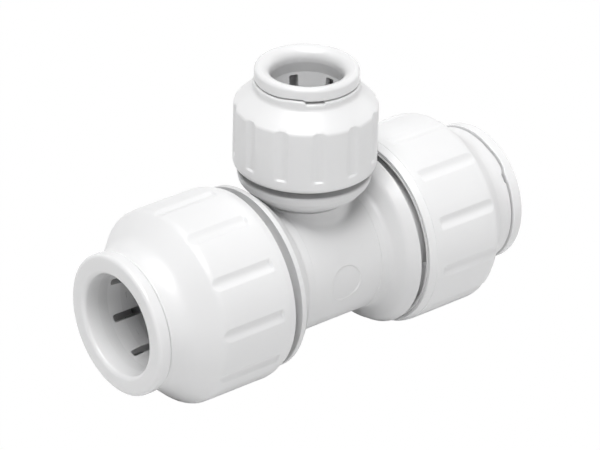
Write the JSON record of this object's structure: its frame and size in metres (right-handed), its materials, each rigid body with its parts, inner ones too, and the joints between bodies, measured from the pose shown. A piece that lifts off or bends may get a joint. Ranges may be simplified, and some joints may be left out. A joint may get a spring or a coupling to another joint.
{
  "type": "push to connect reducing tee",
  "caption": "Plastic push to connect reducing tee: a straight run with a smaller side branch, a twist-to-lock screw cap, sliding grip collet and seal in every port.",
  "frame": {"origin": "where the axis of the straight run and the axis of the branch cross", "axes": "+X along the run towards the right port, +Z along the branch axis and out of its port, +Y across the fitting"},
  "size_m": [0.0996, 0.0428, 0.0668],
  "materials": {
    "tee_plastic": "satin moulded white plastic",
    "cap_plastic": "semi-gloss moulded white plastic",
    "collet_plastic": "smooth glossy white plastic",
    "spacer_plastic": "plain natural plastic",
    "seal_rubber": "black rubber",
    "tooth_steel": "stamped stainless steel"
  },
  "bodies": {
    "tee": {"tee_body": "tee_plastic", "left_o_ring": "seal_rubber", "right_o_ring": "seal_rubber", "branch_o_ring": "seal_rubber"},
    "left_spacer": {"left_spacer_ring": "spacer_plastic"},
    "left_cap": {"left_screw_cap": "cap_plastic"},
    "left_collet": {"left_collet": "collet_plastic", "left_tooth_1": "tooth_steel", "left_tooth_2": "tooth_steel", "left_tooth_3": "tooth_steel", "left_tooth_4": "tooth_steel", "left_tooth_5": "tooth_steel", "left_tooth_6": "tooth_steel", "left_tooth_7": "tooth_steel", "left_tooth_8": "tooth_steel"},
    "right_spacer": {"right_spacer_ring": "spacer_plastic"},
    "right_cap": {"right_screw_cap": "cap_plastic"},
    "right_collet": {"right_collet": "collet_plastic", "right_tooth_1": "tooth_steel", "right_tooth_2": "tooth_steel", "right_tooth_3": "tooth_steel", "right_tooth_4": "tooth_steel", "right_tooth_5": "tooth_steel", "right_tooth_6": "tooth_steel", "right_tooth_7": "tooth_steel", "right_tooth_8": "tooth_steel"},
    "branch_spacer": {"branch_spacer_ring": "spacer_plastic"},
    "branch_cap": {"branch_screw_cap": "cap_plastic"},
    "branch_collet": {"branch_collet": "collet_plastic", "branch_tooth_1": "tooth_steel", "branch_tooth_2": "tooth_steel", "branch_tooth_3": "tooth_steel", "branch_tooth_4": "tooth_steel", "branch_tooth_5": "tooth_steel", "branch_tooth_6": "tooth_steel"}
  },
  "joints": [
    {"name": "left_cap_advance", "type": "slide", "parent": "tee", "child": "left_spacer", "axis": [1, 0, 0], "range_m": [0, 0.0015]},
    {"name": "left_cap_twist", "type": "hinge", "parent": "left_spacer", "child": "left_cap", "pos_m": [0, 0, 0], "axis": [1, 0, 0], "range_deg": [0, 90]},
    {"name": "left_collet_slide", "type": "slide", "parent": "left_spacer", "child": "left_collet", "axis": [-1, 0, 0], "range_m": [0, 0.0025]},
    {"name": "right_cap_advance", "type": "slide", "parent": "tee", "child": "right_spacer", "axis": [-1, 0, 0], "range_m": [0, 0.0015]},
    {"name": "right_cap_twist", "type": "hinge", "parent": "right_spacer", "child": "right_cap", "pos_m": [0, 0, 0], "axis": [-1, 0, 0], "range_deg": [0, 90]},
    {"name": "right_collet_slide", "type": "slide", "parent": "right_spacer", "child": "right_collet", "axis": [1, 0, 0], "range_m": [0, 0.0025]},
    {"name": "branch_cap_advance", "type": "slide", "parent": "tee", "child": "branch_spacer", "axis": [0, 0, -1], "range_m": [0, 0.0015]},
    {"name": "branch_cap_twist", "type": "hinge", "parent": "branch_spacer", "child": "branch_cap", "pos_m": [0, 0, 0], "axis": [0, 0, -1], "range_deg": [0, 90]},
    {"name": "branch_collet_slide", "type": "slide", "parent": "branch_spacer", "child": "branch_collet", "axis": [0, 0, 1], "range_m": [0, 0.002]}
  ],
  "couplings": [
    {"joint": "left_cap_advance", "follows": "left_cap_twist", "m_per_rad": 0.00095493},
    {"joint": "right_cap_advance", "follows": "right_cap_twist", "m_per_rad": 0.00095493},
    {"joint": "branch_cap_advance", "follows": "branch_cap_twist", "m_per_rad": 0.00095493}
  ]
}
